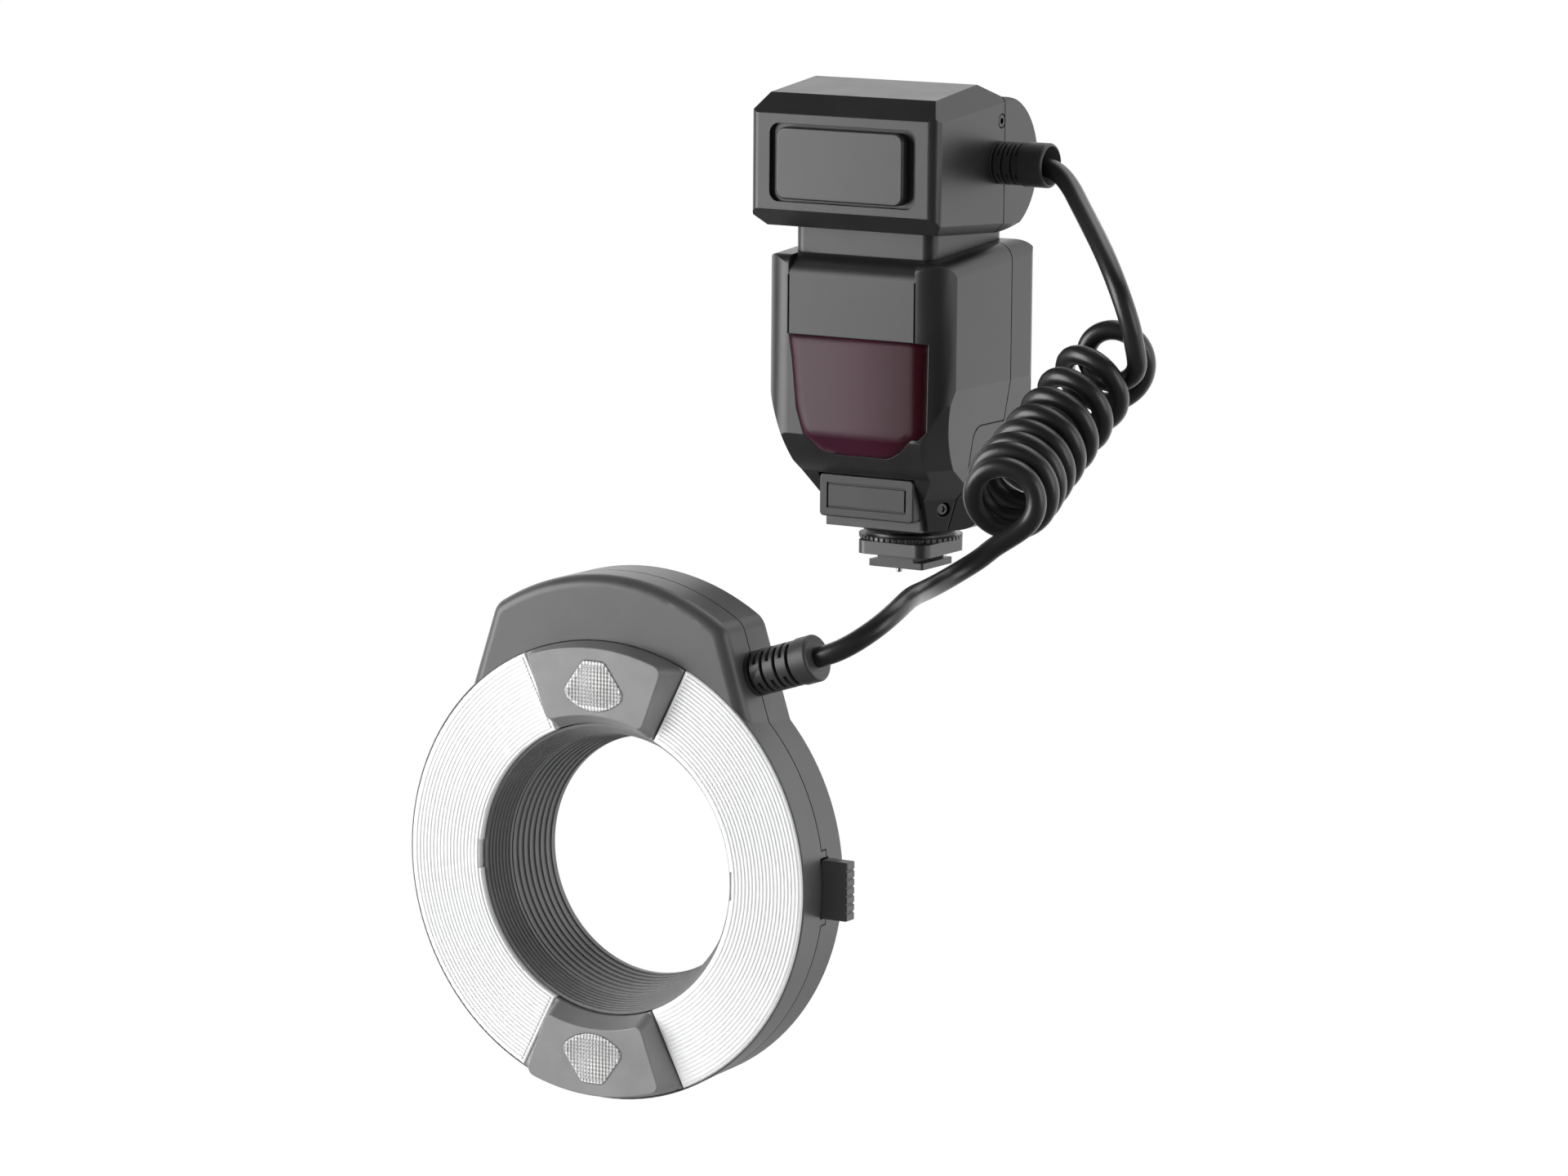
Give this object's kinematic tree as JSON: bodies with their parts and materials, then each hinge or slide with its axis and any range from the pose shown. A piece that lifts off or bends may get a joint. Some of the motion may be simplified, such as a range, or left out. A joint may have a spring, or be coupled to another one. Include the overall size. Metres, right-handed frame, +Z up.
{
  "type": "macro ring flash",
  "caption": "Macro ring flash: a control unit for a hot shoe, a ring flash head with curved windows and modelling lamps, and the coiled lead between them.",
  "frame": {"origin": "centre of the underside of the shoe foot", "axes": "+Z up, -Y the way the flash points, +X to the right seen from the front"},
  "size_m": [0.1686, 0.1958, 0.2747],
  "materials": {
    "unit_plastic": "satin charcoal",
    "ring_plastic": "satin dark grey",
    "block_plastic": "satin grey",
    "window_red": "dark red, gloss",
    "plate_grey": "semi gloss",
    "diffuser_white": "white, ribbed",
    "lens_clear": "prismatic",
    "lcd_glass": "clear",
    "tube_glass": "clear",
    "reflector": "polished",
    "rubber_black": "satin",
    "steel": "bright",
    "dark_metal": "black, satin",
    "gold": "gold plated",
    "copper_green": "solder mask",
    "cell_sleeve": "sleeve",
    "can_sleeve": "sleeve",
    "frame_black": "moulded",
    "lcd_back": "matt",
    "key_grey": "matt"
  },
  "bodies": {
    "flash": {"body_front_shell": "unit_plastic", "body_rear_shell": "unit_plastic", "af_window": "window_red", "af_lamp": "frame_black", "neck_collar": "unit_plastic", "head_front_shell": "unit_plastic", "head_rear_shell": "unit_plastic", "head_front_plate": "plate_grey", "head_screws": "steel", "front_screws": "steel", "head_board": "copper_green", "head_boot": "rubber_black", "port_sockets": "gold", "chassis": "frame_black", "aa_cells": "cell_sleeve", "battery_contacts": "gold", "main_capacitor": "can_sleeve", "main_board": "copper_green", "lcd_module": "lcd_back", "lcd_window": "lcd_glass", "foot_plate": "unit_plastic", "pedestal": "unit_plastic", "cord_upper": "rubber_black", "cord_coil": "rubber_black", "cord_lower": "rubber_black", "ring_boot": "rubber_black", "ring_front_shell": "ring_plastic", "ring_rear_shell": "ring_plastic", "left_diffuser": "diffuser_white", "right_diffuser": "diffuser_white", "left_flash_tube": "tube_glass", "right_flash_tube": "tube_glass", "left_reflector": "reflector", "right_reflector": "reflector", "top_lamp_block": "block_plastic", "bottom_lamp_block": "block_plastic", "top_lamp_lens": "lens_clear", "bottom_lamp_lens": "lens_clear", "lamp_boards": "copper_green", "bore_liner": "block_plastic", "ring_screws": "steel", "trigger_board": "copper_green", "lock_plate": "dark_metal"},
    "lock_wheel": {"lock_wheel": "dark_metal"},
    "lock_pin": {"lock_pin": "steel"},
    "foot_contacts": {"foot_contacts": "gold"},
    "port_cover": {"port_cover": "rubber_black"},
    "door_pin": {"door_hinge_pin": "steel"},
    "door": {"battery_door": "unit_plastic", "door_contacts": "gold"},
    "mode_button": {"mode_button": "key_grey"},
    "lamp_button": {"lamp_button": "key_grey"},
    "ratio_button": {"ratio_button": "key_grey"},
    "set_button": {"set_button": "key_grey"},
    "test_button": {"test_button": "key_grey"},
    "select_dial": {"select_dial": "dark_metal"},
    "power_switch": {"power_switch": "unit_plastic"},
    "right_release": {"right_release_button": "ring_plastic"},
    "left_release": {"left_release_button": "ring_plastic"},
    "adapter": {"adapter_ring": "dark_metal"}
  },
  "joints": [
    {"name": "wheel_turn", "type": "hinge", "parent": "flash", "child": "lock_wheel", "pos_m": [0, 0, 0.009], "axis": [0, 0, 1], "range_deg": [0, 150]},
    {"name": "pin_lift", "type": "slide", "parent": "flash", "child": "lock_pin", "axis": [0, 0, 1], "range_m": [0, 0.0015]},
    {"name": "contact_press", "type": "slide", "parent": "flash", "child": "foot_contacts", "axis": [0, 0, 1], "range_m": [0, 0.0005], "stiffness_N_per_m": 400, "springref_m": -0.001},
    {"name": "port_cover_hinge", "type": "hinge", "parent": "flash", "child": "port_cover", "pos_m": [0, -0.023, 0.0173], "axis": [1, 0, 0], "range_deg": [0, 90]},
    {"name": "door_slide", "type": "slide", "parent": "flash", "child": "door_pin", "axis": [0, 0, -1], "range_m": [0, 0.003]},
    {"name": "door_hinge", "type": "hinge", "parent": "door_pin", "child": "door", "pos_m": [-0.0301, 0.0115, 0.063], "axis": [0, 0, -1], "range_deg": [0, 90]},
    {"name": "mode_button_press", "type": "slide", "parent": "flash", "child": "mode_button", "axis": [0, -1, 0], "range_m": [0, 0.0008], "stiffness_N_per_m": 400, "springref_m": -0.0008},
    {"name": "lamp_button_press", "type": "slide", "parent": "flash", "child": "lamp_button", "axis": [0, -1, 0], "range_m": [0, 0.0008], "stiffness_N_per_m": 400, "springref_m": -0.0008},
    {"name": "ratio_button_press", "type": "slide", "parent": "flash", "child": "ratio_button", "axis": [0, -1, 0], "range_m": [0, 0.0008], "stiffness_N_per_m": 400, "springref_m": -0.0008},
    {"name": "set_button_press", "type": "slide", "parent": "flash", "child": "set_button", "axis": [0, -1, 0], "range_m": [0, 0.0008], "stiffness_N_per_m": 400, "springref_m": -0.0008},
    {"name": "test_button_press", "type": "slide", "parent": "flash", "child": "test_button", "axis": [0, -1, 0], "range_m": [0, 0.0008], "stiffness_N_per_m": 400, "springref_m": -0.0008},
    {"name": "dial_turn", "type": "hinge", "parent": "flash", "child": "select_dial", "pos_m": [0, 0.019, 0.036], "axis": [0, 1, 0], "continuous": true},
    {"name": "power_slide", "type": "slide", "parent": "flash", "child": "power_switch", "axis": [0, 0, 1], "range_m": [0, 0.004]},
    {"name": "right_release_push", "type": "slide", "parent": "flash", "child": "right_release", "axis": [-1, 0, 0], "range_m": [0, 0.0025], "stiffness_N_per_m": 600, "springref_m": -0.001},
    {"name": "left_release_push", "type": "slide", "parent": "flash", "child": "left_release", "axis": [1, 0, 0], "range_m": [0, 0.0025], "stiffness_N_per_m": 600, "springref_m": -0.001},
    {"name": "adapter_spin", "type": "hinge", "parent": "flash", "child": "adapter", "pos_m": [0, -0.15, -0.0643], "axis": [0, 1, 0], "continuous": true}
  ],
  "couplings": [
    {"joint": "pin_lift", "follows": "wheel_turn", "m_per_rad": 0.0005348}
  ]
}
